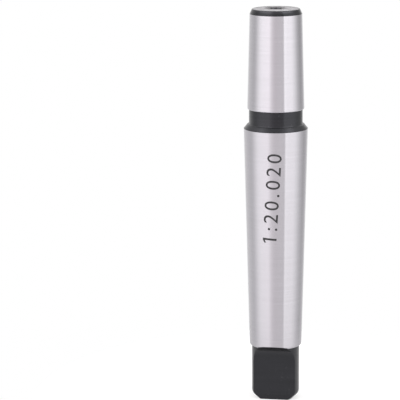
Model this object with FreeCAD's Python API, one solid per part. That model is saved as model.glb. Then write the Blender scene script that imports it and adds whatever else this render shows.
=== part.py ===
import FreeCAD, Part
import math
import os

# A drill chuck arbor: a Morse No. 2 shank with a tang below, and a B16 taper for the chuck above.
# It is one piece of steel, turned between centres, milled to two flats at the tang and then ground on
# both tapers. It stands on its tang, with its axis on Z and the tang's flats facing -Y and +Y.
# The origin is the middle of the tang's end face. Sizes are in millimetres, angles in degrees.

# Both tapers narrow at this rate, in diameter for each millimetre of length
taper_rate = 1 / 20.020

# Shank taper, Morse No. 2
shank_gauge_diameter = 17.780
shank_gauge_height = 75.0      # from the tang's end face up to the gauge plane
shank_head = 3.6               # ground taper that goes on above the gauge plane
shank_end_round = 0.5          # lower edge of the taper, where it drops to the tang

# Tang
tang_length = 15.9             # from its end face up to the foot of the shank taper
tang_step = 0.66               # how far the tang lies inside the foot of the taper, all round
tang_thickness = 6.3           # across the two flats
runout_start = 4.85            # below the foot of the taper, where the flats begin to curve out
cutter_radius = 6.0            # milling cutter, which leaves its curve at the top of each flat
tip_depth = 1.75               # how far the turned tip comes in from the tang's side
tip_angle = 45.0               # slope of the tip, measured from the end face
tip_round = 1.6                # shoulder between the tip and the tang's side

# Neck between the two tapers
shoulder_height = 1.2          # turned chamfer above the shank's ground edge
shoulder_depth = 1.0           # how far that chamfer comes in
neck_length = 5.5              # from the shank's ground edge up to the chuck taper
neck_step = 0.44               # how far the neck lies inside the chuck taper's lower edge
neck_foot_round = 0.42

# Chuck taper, B16
chuck_gauge_diameter = 15.733
chuck_head = 4.0               # ground taper below the gauge plane, towards the neck
chuck_gauge_length = 24.0      # from the gauge plane up to the end face
chuck_edge_round = 0.25        # lower edge of the taper, above the neck
nose_height = 1.4              # turned chamfer at the end that enters the chuck
nose_depth = 0.65              # how far that chamfer comes in
nose_round = 0.3

# Centre holes, one in each end face, on which the arbor is turned and ground
centre_angle = 60.0
centre_mouth_diameter = 3.35
centre_pilot_diameter = 1.6
centre_pilot_length = 1.9
drill_point_angle = 118.0

# How far a cutting tool starts outside the steel, and how much of a side of the outline a round may use
tool_clearance = 1.0
round_share = 0.9

AXIS = FreeCAD.Vector(0, 0, 1)
ORIGIN = FreeCAD.Vector(0, 0, 0)


def taper_radius(gauge_diameter, distance):
    """Radius of a taper at a distance from its gauge plane, measured towards its large end."""
    return (gauge_diameter + taper_rate * distance) / 2


# Heights up the axis and radii that follow from the sizes above
shank_top = shank_gauge_height + shank_head
shoulder_top = shank_top + shoulder_height
chuck_bottom = shank_top + neck_length
length = chuck_bottom + chuck_head + chuck_gauge_length
nose_bottom = length - nose_height
shank_foot_radius = taper_radius(shank_gauge_diameter, tang_length - shank_gauge_height)
shank_top_radius = taper_radius(shank_gauge_diameter, shank_head)
chuck_bottom_radius = taper_radius(chuck_gauge_diameter, chuck_head)
chuck_top_radius = taper_radius(chuck_gauge_diameter, nose_height - chuck_gauge_length)
tang_radius = shank_foot_radius - tang_step
neck_radius = chuck_bottom_radius - neck_step


def half_section_point(radius, height):
    return FreeCAD.Vector(radius, 0, height)


def rounded_corner(before, corner, after, radius):
    """Arc that rounds a corner of the half section, with the points where it starts and ends."""
    to_before = (before - corner).normalize()
    to_after = (after - corner).normalize()
    half_angle = to_before.getAngle(to_after) / 2
    shorter_side = min(before.distanceToPoint(corner), after.distanceToPoint(corner))
    setback = min(radius / math.tan(half_angle), round_share * shorter_side)
    start = corner + to_before * setback
    end = corner + to_after * setback
    depth = setback * (1 - math.sin(half_angle)) / math.cos(half_angle)
    middle = corner + (to_before + to_after).normalize() * depth
    return start, Part.Arc(start, middle, end).toShape(), end


def turned(corners):
    """Solid of revolution of a half section, given as (radius, height, round) from the axis to the axis."""
    points = [half_section_point(radius, height) for radius, height, _ in corners]
    edges = []
    pen = points[0]
    for i, (_, _, corner_round) in enumerate(corners[1:-1], start=1):
        if corner_round:
            start, arc, end = rounded_corner(points[i - 1], points[i], points[i + 1], corner_round)
            edges += [Part.makeLine(pen, start), arc]
            pen = end
        else:
            edges.append(Part.makeLine(pen, points[i]))
            pen = points[i]
    edges.append(Part.makeLine(pen, points[-1]))
    edges.append(Part.makeLine(points[-1], points[0]))
    return Part.Face(Part.Wire(edges)).revolve(ORIGIN, AXIS, 360)


def turned_blank():
    """The whole arbor as it leaves the lathe and the grinder, before its tang is milled."""
    tip_height = tip_depth * math.tan(math.radians(tip_angle))
    return turned([
        (0, 0, None),
        (tang_radius - tip_depth, 0, None),
        (tang_radius, tip_height, tip_round),
        (tang_radius, tang_length, None),
        (shank_foot_radius, tang_length, shank_end_round),
        (shank_top_radius, shank_top, None),
        (shank_top_radius - shoulder_depth, shoulder_top, None),
        (neck_radius, shoulder_top, neck_foot_round),
        (neck_radius, chuck_bottom, None),
        (chuck_bottom_radius, chuck_bottom, chuck_edge_round),
        (chuck_top_radius, nose_bottom, None),
        (chuck_top_radius - nose_depth, length, nose_round),
        (0, length, None),
    ])


def flat_cut():
    """Steel milled away at the -Y flat: straight up the tang, then out along the cutter's radius."""
    flat = -tang_thickness / 2
    flat_top = tang_length - runout_start
    outside = flat - cutter_radius - shank_top_radius
    low_inner = FreeCAD.Vector(0, flat, -tool_clearance)
    runout_low = FreeCAD.Vector(0, flat, flat_top)
    eighth_turn = math.radians(45)
    runout_middle = FreeCAD.Vector(
        0, flat - cutter_radius * (1 - math.cos(eighth_turn)), flat_top + cutter_radius * math.sin(eighth_turn)
    )
    runout_high = FreeCAD.Vector(0, flat - cutter_radius, flat_top + cutter_radius)
    high_outer = FreeCAD.Vector(0, outside, flat_top + cutter_radius)
    low_outer = FreeCAD.Vector(0, outside, -tool_clearance)
    section = Part.Wire([
        Part.makeLine(low_inner, runout_low),
        Part.Arc(runout_low, runout_middle, runout_high).toShape(),
        Part.makeLine(runout_high, high_outer),
        Part.makeLine(high_outer, low_outer),
        Part.makeLine(low_outer, low_inner),
    ])
    half_width = FreeCAD.Vector(shank_top_radius, 0, 0)
    section.translate(-half_width)
    return Part.Face(section).extrude(half_width * 2)


def centre_hole(face_height, inwards):
    """Steel drilled away at an end face: a cone for the lathe centre, and the pilot drill's hole behind it."""
    mouth = centre_mouth_diameter / 2
    pilot = centre_pilot_diameter / 2
    flare = math.tan(math.radians(centre_angle / 2))
    cone_end = (mouth - pilot) / flare
    pilot_end = cone_end + centre_pilot_length
    drill_tip = pilot_end + pilot / math.tan(math.radians(drill_point_angle / 2))
    return turned([
        (0, face_height - inwards * tool_clearance, None),
        (mouth + tool_clearance * flare, face_height - inwards * tool_clearance, None),
        (pilot, face_height + inwards * cone_end, None),
        (pilot, face_height + inwards * pilot_end, None),
        (0, face_height + inwards * drill_tip, None),
    ])


def arbor():
    near_flat = flat_cut()
    far_flat = near_flat.rotated(ORIGIN, AXIS, 180)
    upwards = 1
    downwards = -1
    tang_centre = centre_hole(0, upwards)
    chuck_centre = centre_hole(length, downwards)
    return turned_blank().cut([near_flat, far_flat, tang_centre, chuck_centre]).removeSplitter()


os.makedirs("parts", exist_ok=True)
arbor().exportStep("parts/arbor.step")
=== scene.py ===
import math

import bmesh
import bpy
from mathutils import Matrix, Vector


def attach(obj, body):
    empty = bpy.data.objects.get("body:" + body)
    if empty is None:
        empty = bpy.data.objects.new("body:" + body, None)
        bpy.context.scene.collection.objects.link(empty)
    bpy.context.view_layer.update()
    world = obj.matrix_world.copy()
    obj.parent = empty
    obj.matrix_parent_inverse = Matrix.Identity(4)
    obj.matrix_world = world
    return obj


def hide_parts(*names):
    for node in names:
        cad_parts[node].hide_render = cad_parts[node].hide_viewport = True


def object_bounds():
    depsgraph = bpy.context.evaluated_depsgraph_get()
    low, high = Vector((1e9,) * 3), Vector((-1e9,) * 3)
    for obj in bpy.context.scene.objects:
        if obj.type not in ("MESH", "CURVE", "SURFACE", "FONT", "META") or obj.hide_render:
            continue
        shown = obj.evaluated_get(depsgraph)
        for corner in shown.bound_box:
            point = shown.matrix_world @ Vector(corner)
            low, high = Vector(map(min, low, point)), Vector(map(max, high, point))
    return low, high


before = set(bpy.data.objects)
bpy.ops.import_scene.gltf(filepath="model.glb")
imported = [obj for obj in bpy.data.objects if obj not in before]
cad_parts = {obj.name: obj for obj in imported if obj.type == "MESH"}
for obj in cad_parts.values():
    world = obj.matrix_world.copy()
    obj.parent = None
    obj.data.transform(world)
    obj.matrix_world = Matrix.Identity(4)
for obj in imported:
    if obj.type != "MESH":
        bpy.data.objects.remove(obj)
cad_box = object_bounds()

# Camera: a long lens a little above the arbor, with the arbor right of the middle of the picture.
# It stands a few degrees off the square view of the tang's flat, as in the photograph.
MM = 0.001
camera_azimuth = math.radians(7.2)
camera_distance = 530.3 * MM
camera_height = 170.85 * MM
camera_pitch = math.radians(12.015)
camera_pan = math.radians(2.313)
camera_roll = math.radians(-0.419)
camera_lens = 172.5
nearest_in_view = 10 * MM

camera = bpy.data.objects.new("camera", bpy.data.cameras.new("camera"))
bpy.context.scene.collection.objects.link(camera)
camera.data.lens = camera_lens
camera.data.clip_start = nearest_in_view
camera.matrix_world = (
    Matrix.Rotation(camera_azimuth, 4, "Z")
    @ Matrix.Translation((0, -camera_distance, camera_height))
    @ Matrix.Rotation(camera_pan, 4, "Z")
    @ Matrix.Rotation(math.radians(90) - camera_pitch, 4, "X")
    @ Matrix.Rotation(camera_roll, 4, "Z")
)
bpy.context.scene.camera = camera
bpy.context.scene.view_settings.view_transform = "Standard"


# Ground steel: both tapers are ground round and round, which leaves fine rings. Across the rings light
# spreads far, and along them hardly at all, so upright bands of light stay crisp.
darker_steel = (0.554, 0.537, 0.569)
lighter_steel = (0.593, 0.575, 0.611)


def fill_socket(socket, value):
    """Links a socket to another node's output, or sets it to a plain value. Colours need no alpha."""
    if isinstance(value, bpy.types.NodeSocket):
        socket.id_data.links.new(value, socket)
    else:
        socket.default_value = (*value, 1) if socket.type == "RGBA" else value


def set_inputs(node, **inputs):
    """Fills a node's inputs by their names, with an underscore for each space."""
    for name, value in inputs.items():
        fill_socket(node.inputs[name.replace("_", " ")], value)


def add_node(owner, kind, **inputs):
    """A new node of a material or of the studio, with its inputs filled."""
    node = owner.node_tree.nodes.new(kind)
    set_inputs(node, **inputs)
    return node


def ring_pattern(material, rings_per_metre, patches_per_metre, detail):
    """Noise drawn out round the axis: fine across the rings, slow along them."""
    stretch = add_node(
        material, "ShaderNodeMapping", Vector=add_node(material, "ShaderNodeTexCoord").outputs["Object"],
        Scale=(patches_per_metre, patches_per_metre, rings_per_metre),
    )
    noise = add_node(
        material, "ShaderNodeTexNoise", Vector=stretch.outputs["Vector"], Scale=1.0, Detail=detail
    )
    return noise.outputs["Fac"]


def between(material, noise, low, high):
    """A number from low to high as noise goes from 0.3 to 0.7, where most of it lies."""
    spread = add_node(
        material, "ShaderNodeMapRange", Value=noise, From_Min=0.3, From_Max=0.7, To_Min=low, To_Max=high
    )
    return spread.outputs["Result"]


def mixed(owner, share, first, second):
    """A colour that goes from the first to the second as the share goes from 0 to 1."""
    mix = add_node(owner, "ShaderNodeMix")
    mix.data_type = "RGBA"
    fill_socket(mix.inputs[0], share)
    fill_socket(mix.inputs[6], first)
    fill_socket(mix.inputs[7], second)
    return mix.outputs[2]


def new_finish(name):
    """A material with its Principled shader, which the caller fills in."""
    material = bpy.data.materials.new(name)
    material.use_nodes = True
    return material, material.node_tree.nodes["Principled BSDF"]


def set_rings(material, shader, spread):
    """Stretches the shine across rings that run round the axis."""
    round_axis = add_node(material, "ShaderNodeTangent")
    round_axis.direction_type = "RADIAL"
    round_axis.axis = "Z"
    quarter_turn = 0.25
    set_inputs(
        shader, Tangent=round_axis.outputs["Tangent"],
        Anisotropic=spread, Anisotropic_Rotation=quarter_turn,
    )


ground_steel, shader = new_finish("ground_steel")
fine_rings = ring_pattern(ground_steel, rings_per_metre=5200, patches_per_metre=90, detail=4)
ring_shade = between(ground_steel, fine_rings, 0, 1)
set_inputs(
    shader,
    Base_Color=mixed(ground_steel, ring_shade, darker_steel, lighter_steel),
    Roughness=between(ground_steel, fine_rings, 0.24, 0.21),
    Metallic=1,
)
set_rings(ground_steel, shader, spread=1.0)


# Black oxide: a thin black skin on the tang, the neck and the chamfers. It is satin, shows the marks of
# turning and milling under it, and is worn through to grey in a few small specks.
deepest_black = (0.0002, 0.0002, 0.0004)
palest_black = (0.0075, 0.0075, 0.009)
worn_grey = (0.03, 0.03, 0.032)
tool_mark_depth = 0.03 * MM


def faded(owner, value, start, end):
    """A share that goes from 0 to 1 as a value goes from start to end."""
    share = add_node(owner, "ShaderNodeMapRange", Value=value, From_Min=start, From_Max=end)
    return share.outputs["Result"]


def set_bump(material, shader, pattern, depth):
    """Makes the surface look as uneven as a pattern, from zero to a depth in metres."""
    bump = add_node(material, "ShaderNodeBump", Height=pattern, Distance=depth, Strength=1.0)
    set_inputs(shader, Normal=bump.outputs["Normal"])


black_oxide, shader = new_finish("black_oxide")
tool_marks = ring_pattern(black_oxide, rings_per_metre=1300, patches_per_metre=45, detail=4)
blotches = ring_pattern(black_oxide, rings_per_metre=420, patches_per_metre=420, detail=4)
wear = ring_pattern(black_oxide, rings_per_metre=1700, patches_per_metre=1700, detail=2)
skin = mixed(black_oxide, between(black_oxide, tool_marks, 0, 1), deepest_black, palest_black)
worn_through = faded(black_oxide, wear, start=0.69, end=0.76)
set_inputs(
    shader,
    Base_Color=mixed(black_oxide, worn_through, skin, worn_grey),
    Roughness=between(black_oxide, blotches, 0.13, 0.24),
    Metallic=0,
    IOR=1.55,
    Specular_Tint=(0.91, 0.92, 1.0),
    Sheen_Weight=0.03,
    Sheen_Roughness=0.4,
    Sheen_Tint=(0.94, 0.95, 1.0),
)
set_bump(black_oxide, shader, tool_marks, tool_mark_depth)


# End face: bare steel, faced on the lathe in fine rings and mottled by the oxide bath. Painted shade
# darkens it round the centre hole, and it is darker in a ragged line along the back of the rim.
dull_steel = (0.38, 0.378, 0.392)
bright_steel = (0.84, 0.838, 0.86)
patch_black = (0.035, 0.035, 0.037)
ragged_reach = 2.6 * MM
facing_depth = 0.005 * MM
ring_share = 0.45


def calculated(owner, operation, *values):
    """The result of one sum on plain numbers and other nodes' outputs."""
    node = add_node(owner, "ShaderNodeMath")
    node.operation = operation
    for socket, value in zip(node.inputs, values):
        fill_socket(socket, value)
    return node.outputs[0]


faced_steel, shader = new_finish("faced_steel")
on_face = add_node(faced_steel, "ShaderNodeTexCoord").outputs["Object"]
facing = add_node(
    faced_steel, "ShaderNodeTexWave", Vector=on_face, Scale=1100.0, Distortion=2.0, Detail=3.0
)
facing.wave_type = "RINGS"
facing.rings_direction = "Z"
facing_rings = facing.outputs["Fac"]
ragged = ring_pattern(faced_steel, rings_per_metre=1300, patches_per_metre=1300, detail=5)
cloudy = ring_pattern(faced_steel, rings_per_metre=600, patches_per_metre=600, detail=4)


def dark_patch(middle, clean_radius, dark_radius):
    """How dark a patch is, by the distance in millimetres from a middle, with a ragged edge."""
    from_middle = add_node(
        faced_steel, "ShaderNodeMapping", Vector=on_face,
        Location=(-middle[0] * MM, -middle[1] * MM, 0), Scale=(1, 1, 0),
    )
    distance = add_node(faced_steel, "ShaderNodeVectorMath", Vector=from_middle.outputs["Vector"])
    distance.operation = "LENGTH"
    uneven = calculated(faced_steel, "MULTIPLY_ADD", ragged, ragged_reach, distance.outputs["Value"])
    return faded(faced_steel, uneven, clean_radius * MM, dark_radius * MM)


# Painted shade: the face is darkened round the centre hole, as if the hole's shade spread over it
painted_shade_round_hole = dark_patch(middle=(-0.2, 0.9), clean_radius=5.0, dark_radius=3.6)
along_the_rim = dark_patch(middle=(0, -1.6), clean_radius=7.8, dark_radius=8.7)
shade_and_dark_rim = calculated(faced_steel, "MAXIMUM", painted_shade_round_hole, along_the_rim)
clouds = between(faced_steel, cloudy, 0, 1 - ring_share)
mottled = calculated(faced_steel, "MULTIPLY_ADD", facing_rings, ring_share, clouds)
clean = mixed(faced_steel, mottled, dull_steel, bright_steel)
set_inputs(
    shader,
    Base_Color=mixed(faced_steel, shade_and_dark_rim, clean, patch_black),
    Roughness=between(faced_steel, facing_rings, 0.30, 0.38),
    Metallic=1,
)
set_rings(faced_steel, shader, spread=0.8)
set_bump(faced_steel, shader, facing_rings, facing_depth)


# Arbor body: one piece of steel, turned between centres with a centre hole in each end, then milled to
# two flats at the tang, blackened, and ground bright on both tapers. Sizes are in millimetres.
taper_rate = 1 / 20.020
shank_gauge_diameter = 17.780
shank_gauge_height = 75.0
shank_top = 78.6
shank_end_round = 0.5
tang_length = 15.9
tang_step = 0.66
tang_thickness = 6.3
runout_start = 4.85
cutter_radius = 6.0
tip_depth = 1.75
tip_angle = math.radians(45)
tip_round = 1.6
shoulder_height = 1.2
shoulder_depth = 1.0
neck_foot_round = 0.42
neck_step = 0.44
chuck_bottom = 84.1
chuck_gauge_diameter = 15.733
chuck_gauge_length = 24.0
chuck_edge_round = 0.25
nose_height = 1.4
nose_depth = 0.65
nose_round = 0.3
centre_mouth = 3.35 / 2
centre_pilot = 1.6 / 2
centre_pilot_length = 1.9
centre_flare = math.tan(math.radians(30))
drill_point_flare = math.tan(math.radians(59))
turning_steps = 256
runout_steps = 16
steps_per_round = 8
tolerance = 0.001
sharp_angle = math.radians(25)

length = cad_box[1].z / MM
shank_foot_radius = (shank_gauge_diameter - taper_rate * (shank_gauge_height - tang_length)) / 2
shank_top_radius = (shank_gauge_diameter + taper_rate * (shank_top - shank_gauge_height)) / 2
chuck_gauge_height = length - chuck_gauge_length
chuck_bottom_radius = (chuck_gauge_diameter + taper_rate * (chuck_gauge_height - chuck_bottom)) / 2
chuck_top_radius = (chuck_gauge_diameter - taper_rate * (chuck_gauge_length - nose_height)) / 2
tang_radius = shank_foot_radius - tang_step
neck_radius = chuck_bottom_radius - neck_step
shoulder_top = shank_top + shoulder_height
nose_bottom = length - nose_height


def centre_hole(face, inwards):
    """Corners of a centre hole, from its tip on the axis to its mouth in an end face."""
    cone_end = (centre_mouth - centre_pilot) / centre_flare
    pilot_end = cone_end + centre_pilot_length
    tip = pilot_end + centre_pilot / drill_point_flare
    return [
        (0, face + inwards * tip, 0),
        (centre_pilot, face + inwards * pilot_end, 0),
        (centre_pilot, face + inwards * cone_end, 0),
        (centre_mouth, face, 0),
    ]


def rounded_outline(corners):
    """Points of an outline through (radius, height, round) corners, with an arc at each round."""
    places = [Vector((radius, 0, height)) for radius, height, _ in corners]
    points = []
    for i, (_, _, corner_round) in enumerate(corners):
        if not corner_round:
            points.append(places[i])
            continue
        to_before = (places[i - 1] - places[i]).normalized()
        to_after = (places[i + 1] - places[i]).normalized()
        half_angle = to_before.angle(to_after) / 2
        setback = corner_round / math.tan(half_angle)
        centre = places[i] + (to_before + to_after).normalized() * corner_round / math.sin(half_angle)
        start = places[i] + to_before * setback - centre
        end = places[i] + to_after * setback - centre
        for step in range(steps_per_round + 1):
            points.append(centre + corner_round * start.slerp(end, step / steps_per_round))
    return points


def thicken(shape, face, offset):
    """Draws a flat face out into a solid."""
    swept = bmesh.ops.extrude_face_region(shape, geom=[face])["geom"]
    far_corners = [part for part in swept if isinstance(part, bmesh.types.BMVert)]
    bmesh.ops.translate(shape, vec=offset, verts=far_corners)


def new_object(name, shape, *finishes):
    """An object at the origin that holds a bmesh, with its finishes in order."""
    mesh = bpy.data.meshes.new(name)
    shape.to_mesh(mesh)
    shape.free()
    for finish in finishes:
        mesh.materials.append(finish)
    made = bpy.data.objects.new(name, mesh)
    bpy.context.scene.collection.objects.link(made)
    return made


def finished_mesh(piece):
    """A piece's mesh as its modifiers or its typeface leave it."""
    return bpy.data.meshes.new_from_object(piece.evaluated_get(bpy.context.evaluated_depsgraph_get()))


outline = rounded_outline([
    *centre_hole(0, 1),
    (tang_radius - tip_depth, 0, 0),
    (tang_radius, tip_depth * math.tan(tip_angle), tip_round),
    (tang_radius, tang_length, 0),
    (shank_foot_radius, tang_length, shank_end_round),
    (shank_top_radius, shank_top, 0),
    (shank_top_radius - shoulder_depth, shoulder_top, 0),
    (neck_radius, shoulder_top, neck_foot_round),
    (neck_radius, chuck_bottom, 0),
    (chuck_bottom_radius, chuck_bottom, chuck_edge_round),
    (chuck_top_radius, nose_bottom, 0),
    (chuck_top_radius - nose_depth, length, nose_round),
    *reversed(centre_hole(length, -1)),
])
blank = bmesh.new()
rim = [blank.verts.new(point * MM) for point in outline]
profile = [blank.edges.new(pair) for pair in zip(rim, rim[1:])]
bmesh.ops.spin(
    blank, geom=rim + profile, cent=(0, 0, 0), axis=(0, 0, 1), angle=2 * math.pi,
    steps=turning_steps, use_merge=True,
)
bmesh.ops.remove_doubles(blank, verts=blank.verts, dist=tolerance * MM)
bmesh.ops.recalc_face_normals(blank, faces=blank.faces)
GROUND, BLACK, FACED = range(3)
for face in blank.faces:
    centre = face.calc_center_median() / MM
    outside_the_hole = math.hypot(centre.x, centre.y) > centre_mouth
    on_taper = tang_length < centre.z < shank_top or chuck_bottom < centre.z < nose_bottom
    if outside_the_hole and on_taper:
        face.material_index = GROUND
    elif outside_the_hole and centre.z > length - tolerance:
        face.material_index = FACED
    else:
        face.material_index = BLACK
arbor_blank = new_object("arbor_blank", blank, ground_steel, black_oxide, faced_steel)

# Milling cutter's path at one flat, from below the tang up its side and out along the cutter's radius
flat = tang_thickness / 2
flat_top = tang_length - runout_start
outside = flat + cutter_radius + shank_top_radius
below_tang = -1
path = [Vector((-outside, outside, below_tang)), Vector((-outside, flat, below_tang))]
for step in range(runout_steps + 1):
    turn = math.radians(90) * step / runout_steps
    path.append(Vector((
        -outside, flat + cutter_radius * (1 - math.cos(turn)), flat_top + cutter_radius * math.sin(turn)
    )))
path.append(Vector((-outside, outside, flat_top + cutter_radius)))
milled = bmesh.new()
section = milled.faces.new([milled.verts.new(point * MM) for point in path])
thicken(milled, section, (2 * outside * MM, 0, 0))
bmesh.ops.spin(
    milled, geom=milled.faces[:], cent=(0, 0, 0), axis=(0, 0, 1), angle=math.pi, steps=1,
    use_duplicate=True,
)
bmesh.ops.recalc_face_normals(milled, faces=milled.faces)
cutter = new_object("cutter", milled, black_oxide)

milling = arbor_blank.modifiers.new("milling", "BOOLEAN")
milling.operation = "DIFFERENCE"
milling.solver = "EXACT"
milling.material_mode = "TRANSFER"
milling.object = cutter
steel = bmesh.new()
steel.from_mesh(finished_mesh(arbor_blank))
bmesh.ops.remove_doubles(steel, verts=steel.verts, dist=tolerance * MM)
bmesh.ops.dissolve_degenerate(steel, edges=steel.edges, dist=tolerance * MM)
for face in steel.faces:
    face.smooth = True
for edge in steel.edges:
    edge.smooth = edge.calc_face_angle(0) < sharp_angle
arbor = new_object("arbor_steel", steel, ground_steel, black_oxide, faced_steel)
for spent in (arbor_blank, cutter):
    bpy.data.objects.remove(spent)
even_shading = arbor.modifiers.new("even_shading", "WEIGHTED_NORMAL")
even_shading.keep_sharp = True
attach(arbor, "root")
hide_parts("arbor")


# Taper ratio: both tapers narrow by 1 mm in 20.020 mm, and that ratio is etched up the shank above the
# tang's flat, a little out of line. The etched steel is dark and matt, and stands a hair proud of the
# ground steel. Sizes are in millimetres.
mark_height = 59.9
mark_slant = math.radians(3.6)
mark_stands_proud = 0.015
mark_depth = 0.045
mark_strip = 0.35
digit_size = 5.8
digit_spacing = 1.3
digit_curve_steps = 5
digit_weld = 0.002
strip_weld = 0.0001
flag_corners = [(0.05, -0.03), (0.05, -0.62), (-0.8, -1.1), (-0.8, -0.55)]
flag_inset = 0.002
etched_dark = (0.012, 0.012, 0.013)
etched_light = (0.05, 0.05, 0.052)

etched_steel, shader = new_finish("etched_steel")
etching = ring_pattern(etched_steel, rings_per_metre=3000, patches_per_metre=3000, detail=3)
etching_shade = between(etched_steel, etching, 0, 1)
set_inputs(
    shader,
    Base_Color=mixed(etched_steel, etching_shade, etched_dark, etched_light),
    Roughness=between(etched_steel, etching, 0.42, 0.58),
    Metallic=0,
    Specular_IOR_Level=0.35,
)

lettering = bpy.data.curves.new("taper_ratio", "FONT")
lettering.body = "1:20.020"
lettering.size = digit_size
lettering.align_x = "CENTER"
lettering.space_character = digit_spacing
lettering.extrude = mark_depth / 2
lettering.resolution_u = digit_curve_steps
typeset = bpy.data.objects.new("taper_ratio_typeset", lettering)
bpy.context.scene.collection.objects.link(typeset)
ratio = bmesh.new()
ratio.from_mesh(finished_mesh(typeset))
bpy.data.objects.remove(typeset)
bmesh.ops.remove_doubles(ratio, verts=ratio.verts, dist=digit_weld)

# The numeral one at the left end is a bare stem, so it gets a flag, a touch thinner than itself
digit_top = max(corner.co.y for corner in ratio.verts)
stem = min(corner.co.x for corner in ratio.verts)
flag_depth = mark_depth - 2 * flag_inset
flag = ratio.faces.new([
    ratio.verts.new((stem + x, digit_top + y, -flag_depth / 2)) for x, y in flag_corners
])
thicken(ratio, flag, (0, 0, flag_depth))
bmesh.ops.recalc_face_normals(ratio, faces=ratio.faces)

# The flat digits are cut into strips, so that they bend round the shank
for strip in range(1, int(digit_top / mark_strip) + 1):
    bmesh.ops.bisect_plane(
        ratio, geom=ratio.verts[:] + ratio.edges[:] + ratio.faces[:], dist=strip_weld,
        plane_co=(0, strip * mark_strip, 0), plane_no=(0, 1, 0),
    )
for corner in ratio.verts:
    along, across, proud = corner.co.x, corner.co.y - digit_top / 2, corner.co.z
    up_shank = mark_height + along * math.cos(mark_slant) + across * math.sin(mark_slant)
    round_shank = along * math.sin(mark_slant) - across * math.cos(mark_slant)
    surface = (shank_gauge_diameter + taper_rate * (up_shank - shank_gauge_height)) / 2
    turn = round_shank / surface - math.radians(90)
    radius = surface + proud - mark_depth / 2 + mark_stands_proud
    corner.co = Vector((radius * math.cos(turn), radius * math.sin(turn), up_shank)) * MM
taper_ratio = new_object("taper_ratio", ratio, etched_steel)
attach(taper_ratio, "root")


# Floor: a small round pale table top under the arbor. It glows, so that it is white to the camera and pale
# in the steel, like the studio round it, and it keeps the arbor's soft shadow.
floor_radius = 70 * MM
floor_steps = 96
floor_grey = (0.42, 0.42, 0.42)
glow_to_camera = 0.60
glow_in_steel = 0.27

table = bmesh.new()
bmesh.ops.create_circle(table, cap_ends=True, radius=floor_radius, segments=floor_steps)
floor_paint, shader = new_finish("floor_paint")
rays = add_node(floor_paint, "ShaderNodeLightPath")
in_steel = calculated(floor_paint, "MULTIPLY", rays.outputs["Is Glossy Ray"], glow_in_steel)
glow = calculated(floor_paint, "MULTIPLY_ADD", rays.outputs["Is Camera Ray"], glow_to_camera, in_steel)
set_inputs(
    shader, Base_Color=floor_grey, Roughness=0.6, Emission_Color=(1, 1, 1), Emission_Strength=glow
)
floor = new_object("floor", table, floor_paint)


# Studio: pale walls all round, with a bright panel left and right of the camera and a greyer, faintly rose
# gap between them. Lamps stand higher up at the panels. The camera sees plain white.
# Each row is a bearing from the camera in degrees, the level of light there, and how rose it is.
level_at_eye = [
    (-180, 0.70, 0.5), (-169, 0.72, 0.3), (-163, 1.00, 0), (-150, 0.84, 0), (-138, 0.82, 0),
    (-124, 0.76, 0), (-104, 0.68, 0), (-94, 0.78, 0), (-72, 1.34, 0.2), (-60, 1.49, 0.3),
    (-30, 1.54, 0.6), (-18, 1.10, 0.8), (-8, 0.87, 1), (0, 0.80, 1), (16, 0.83, 0.7),
    (33.8, 0.79, 0.4), (35.6, 1.67, 0.1), (44, 1.52, 0.1), (70, 1.46, 0.2), (84, 1.22, 0),
    (103, 0.72, 0), (122, 0.48, 0), (144, 0.62, 0), (160, 0.95, 0), (168, 0.74, 0.3), (180, 0.70, 0.5),
]
level_at_lamps = [
    (-180, 0.85, 0.5), (-120, 0.85, 0), (-95, 1.45, 0), (-75, 2.85, 0.2), (-30, 2.85, 0.5),
    (-17, 1.30, 0.8), (0, 1.12, 1), (14, 1.15, 0.7), (33.8, 1.40, 0.4), (36, 3.15, 0.1),
    (78, 3.15, 0.1), (98, 1.30, 0), (125, 0.75, 0), (180, 0.85, 0.5),
]
ceiling_level = 0.9
ground_level = 0.95
up_to_lamps = (0.28, 0.60)
up_to_ceiling = (0.74, 0.95)
down_to_ground = (-0.16, -0.45)
full_rose = (1.06, 1, 1.025)
headroom = 1.1
brightest = headroom * max(level for _, level, _ in level_at_eye + level_at_lamps)

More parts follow.
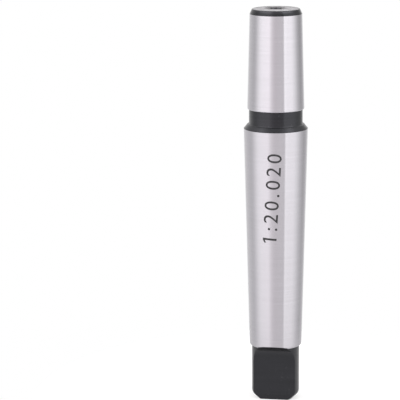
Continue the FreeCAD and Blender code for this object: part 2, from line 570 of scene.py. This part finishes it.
studio = bpy.data.worlds.new("studio")
bpy.context.scene.world = studio
studio.use_nodes = True


def shade(level, rose=0):
    """A grey at a level of light, tinted towards rose, as a share of the brightest."""
    return tuple(level / brightest * (1 + rose * (tint - 1)) for tint in full_rose)


def levels_round(bearing, levels):
    """The shades of a list of levels, as the bearing goes once round."""
    ramp = add_node(studio, "ShaderNodeValToRGB", Fac=faded(studio, bearing, -math.pi, math.pi))
    stops = ramp.color_ramp.elements
    while len(stops) < len(levels):
        stops.new(0.5)
    for stop, (degrees, level, rose) in zip(stops, levels):
        stop.position = (degrees + 180) / 360
        stop.color = (*shade(level, rose), 1)
    return ramp.outputs["Color"]


def rising(climb, start, end):
    """A soft share that goes from 0 to 1 as the climb of a direction goes from start to end."""
    share = add_node(studio, "ShaderNodeMapRange", Value=climb, From_Min=start, From_Max=end)
    share.interpolation_type = "SMOOTHSTEP"
    return share.outputs["Result"]


# Each direction of the studio as a bearing from the camera's side of the arbor, and a climb from level
turned = add_node(
    studio, "ShaderNodeVectorRotate",
    Vector=add_node(studio, "ShaderNodeTexCoord").outputs["Generated"], Angle=-camera_azimuth,
)
turned.rotation_type = "Z_AXIS"
direction = add_node(studio, "ShaderNodeSeparateXYZ", Vector=turned.outputs["Vector"])
ahead = calculated(studio, "MULTIPLY", direction.outputs["Y"], -1)
bearing = calculated(studio, "ARCTAN2", direction.outputs["X"], ahead)
climb = direction.outputs["Z"]
at_eye = levels_round(bearing, level_at_eye)
at_lamps = levels_round(bearing, level_at_lamps)
room = mixed(studio, rising(climb, *up_to_lamps), at_eye, at_lamps)
room = mixed(studio, rising(climb, *up_to_ceiling), room, shade(ceiling_level))
room = mixed(studio, rising(climb, *down_to_ground), room, shade(ground_level))
to_camera = add_node(studio, "ShaderNodeLightPath").outputs["Is Camera Ray"]
strength = add_node(studio, "ShaderNodeMapRange", Value=to_camera, To_Min=brightest, To_Max=1.0)
set_inputs(
    studio.node_tree.nodes["Background"],
    Color=mixed(studio, to_camera, room, (1, 1, 1)), Strength=strength.outputs["Result"],
)
